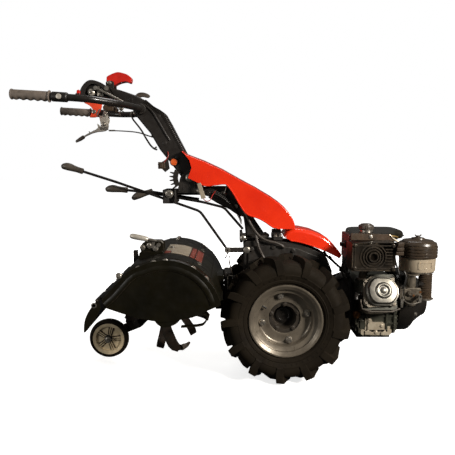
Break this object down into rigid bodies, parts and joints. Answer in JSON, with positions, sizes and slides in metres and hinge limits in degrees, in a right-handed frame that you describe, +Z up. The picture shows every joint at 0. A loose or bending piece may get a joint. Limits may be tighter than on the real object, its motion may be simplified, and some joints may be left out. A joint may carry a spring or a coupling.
{
  "type": "rotary tiller",
  "caption": "Two-wheel walking tractor with a front petrol engine, long rear handlebar, lug tyres and a hooded rear rotary tiller with depth wheel.",
  "frame": {"origin": "on the ground under the middle of the machine's bounding box", "axes": "+X forward towards the engine, +Y to the machine's left, +Z up"},
  "size_m": [1.5691, 0.6, 1.203],
  "materials": {
    "tyre_rubber": "matte moulded rubber",
    "rim_steel": "satin grey-silver paint",
    "depth_rim_plastic": "satin cream",
    "cast_black": "satin black paint on cast iron",
    "bolts": "zinc plated",
    "orange_hood": "glossy orange-red",
    "dark_red": "glossy dark red",
    "cast_alloy": "bead-blasted cast alloy",
    "base_steel": "light grey paint",
    "exhaust": "heat resistant black",
    "tank_black": "gloss black paint",
    "black_plastic": "moulded black",
    "smoke_plastic": "translucent smoke grey",
    "tiller_sheet": "very dark olive-black paint",
    "tine_steel": "dark forged steel",
    "tube_black": "black powder coat",
    "cable_sleeve": "satin cable sleeve and hose",
    "grip_rubber": "matte ribbed rubber"
  },
  "bodies": {
    "chassis": {"gearbox_case": "cast_black", "gearbox_cover": "cast_black", "bell_housing": "cast_black", "front_fairing": "orange_hood", "implement_coupling": "cast_black", "engine_base": "base_steel", "crankcase": "cast_alloy", "cylinder_head": "cast_alloy", "valve_cover": "cast_alloy", "muffler": "exhaust", "muffler_guard": "exhaust", "fuel_tank": "tank_black", "fan_shroud": "black_plastic", "carburettor": "cast_alloy", "air_bowl": "smoke_plastic", "air_cover": "black_plastic", "air_intake": "black_plastic", "engine_panel": "dark_red", "hoses": "cable_sleeve", "tiller_hood": "tiller_sheet", "side_plate_right": "tiller_sheet", "side_plate_left": "tiller_sheet", "tiller_drive": "cast_black", "clamp_bracket": "cast_black"},
    "drive": {"drive_shaft": "bolts"},
    "wheel_right": {"tyre_right": "tyre_rubber", "rim_right": "rim_steel", "hub_right": "cast_black", "wheel_bolts_right": "bolts"},
    "wheel_left": {"tyre_left": "tyre_rubber", "rim_left": "rim_steel", "hub_left": "cast_black", "wheel_bolts_left": "bolts"},
    "rotor": {"rotor_shaft": "tine_steel", "tines": "tine_steel"},
    "flap": {"rear_flap": "tiller_sheet"},
    "depth_post": {"depth_arm": "cast_black"},
    "depth_wheel": {"depth_tyre": "tyre_rubber", "depth_rim": "depth_rim_plastic"},
    "clamp": {"clamp_lever": "grip_rubber"},
    "cap": {"fuel_cap": "black_plastic"},
    "starter": {"starter_handle": "black_plastic"},
    "shift": {"shift_arm": "tine_steel"},
    "steering": {"steering_frame": "cast_black", "height_sector": "cast_black", "hood": "orange_hood"},
    "handlebar": {"column": "black_plastic", "console": "black_plastic", "handle_right": "tube_black", "handle_left": "tube_black", "control_cables": "cable_sleeve", "grip_right": "grip_rubber", "grip_left": "grip_rubber"},
    "stop": {"stop_lever": "dark_red"},
    "reverse": {"reverse_lever": "black_plastic"},
    "clutch": {"clutch_lever": "bolts"},
    "latch": {"latch_lever": "orange_hood"},
    "gear": {"gear_rod": "black_plastic"},
    "lock": {"lock_rod": "black_plastic"},
    "speed": {"speed_rod": "black_plastic"}
  },
  "joints": [
    {"name": "wheel_right_spin", "type": "hinge", "parent": "chassis", "child": "wheel_right", "pos_m": [0.19, -0.153, 0.25], "axis": [0, 1, 0], "continuous": true},
    {"name": "wheel_left_spin", "type": "hinge", "parent": "chassis", "child": "wheel_left", "pos_m": [0.19, 0.153, 0.25], "axis": [0, 1, 0], "continuous": true},
    {"name": "rotor_spin", "type": "hinge", "parent": "chassis", "child": "rotor", "pos_m": [-0.255, 0, 0.3], "axis": [0, 1, 0], "continuous": true},
    {"name": "drive_spin", "type": "hinge", "parent": "chassis", "child": "drive", "pos_m": [0.19, 0, 0.33], "axis": [1, 0, 0], "continuous": true},
    {"name": "flap_swing", "type": "hinge", "parent": "chassis", "child": "flap", "pos_m": [-0.498, 0, 0.358], "axis": [0, 1, 0], "range_deg": [0, 40]},
    {"name": "depth_slide", "type": "slide", "parent": "chassis", "child": "depth_post", "axis": [0, 0, 1], "range_m": [0, 0.055]},
    {"name": "depth_wheel_spin", "type": "hinge", "parent": "depth_post", "child": "depth_wheel", "pos_m": [-0.552, 0.092, 0.086], "axis": [0, 1, 0], "continuous": true},
    {"name": "clamp_turn", "type": "hinge", "parent": "chassis", "child": "clamp", "pos_m": [-0.296, -0.107, 0.536], "axis": [0, 1, 0], "range_deg": [-6, 50]},
    {"name": "fuel_cap_turn", "type": "hinge", "parent": "chassis", "child": "cap", "pos_m": [0.521, -0.06, 0.59], "axis": [0, 0, 1], "range_deg": [0, 90]},
    {"name": "starter_pull", "type": "slide", "parent": "chassis", "child": "starter", "axis": [0, 1, 0], "range_m": [0, 0.1], "stiffness_N_per_m": 60, "springref_m": -0.05},
    {"name": "shift_arm_turn", "type": "hinge", "parent": "chassis", "child": "shift", "pos_m": [0.044, -0.071, 0.505], "axis": [0, 1, 0], "range_deg": [-6, 6]},
    {"name": "steering_swing", "type": "hinge", "parent": "chassis", "child": "steering", "pos_m": [0.09, 0, 0.547], "axis": [0, 0, 1], "range_deg": [-15, 15], "deforming": ["hoses"]},
    {"name": "height_tilt", "type": "hinge", "parent": "steering", "child": "handlebar", "pos_m": [-0.182, 0, 0.79], "axis": [0, 1, 0], "range_deg": [-12, 12]},
    {"name": "stop_press", "type": "hinge", "parent": "handlebar", "child": "stop", "pos_m": [-0.494, 0, 1.16], "axis": [0, 1, 0], "range_deg": [0, 12], "stiffness_Nm_per_rad": 0.8, "springref_deg": -28.65},
    {"name": "reverse_turn", "type": "hinge", "parent": "handlebar", "child": "reverse", "pos_m": [-0.402, 0.05, 1.092], "axis": [0, 1, 0], "range_deg": [-15, 15]},
    {"name": "clutch_pull", "type": "hinge", "parent": "handlebar", "child": "clutch", "pos_m": [-0.589, 0.265, 1.024], "axis": [0, 1, 0], "range_deg": [0, 22], "stiffness_Nm_per_rad": 1.5, "springref_deg": -34.38},
    {"name": "latch_turn", "type": "hinge", "parent": "handlebar", "child": "latch", "pos_m": [-0.625, 0.234, 1.077], "axis": [0, 1, 0], "range_deg": [-20, 10]},
    {"name": "gear_slide", "type": "slide", "parent": "steering", "child": "gear", "axis": [0.9524, 0, -0.3049], "range_m": [-0.02, 0.02]},
    {"name": "lock_slide", "type": "slide", "parent": "steering", "child": "lock", "axis": [0.9889, 0, -0.1483], "range_m": [-0.02, 0.02]},
    {"name": "speed_slide", "type": "slide", "parent": "steering", "child": "speed", "axis": [0.9882, 0, -0.1532], "range_m": [-0.02, 0.02]}
  ],
  "couplings": [
    {"joint": "drive_spin", "follows": "rotor_spin", "ratio": 3},
    {"joint": "shift_arm_turn", "follows": "gear_slide", "rad_per_m": -4.2}
  ]
}
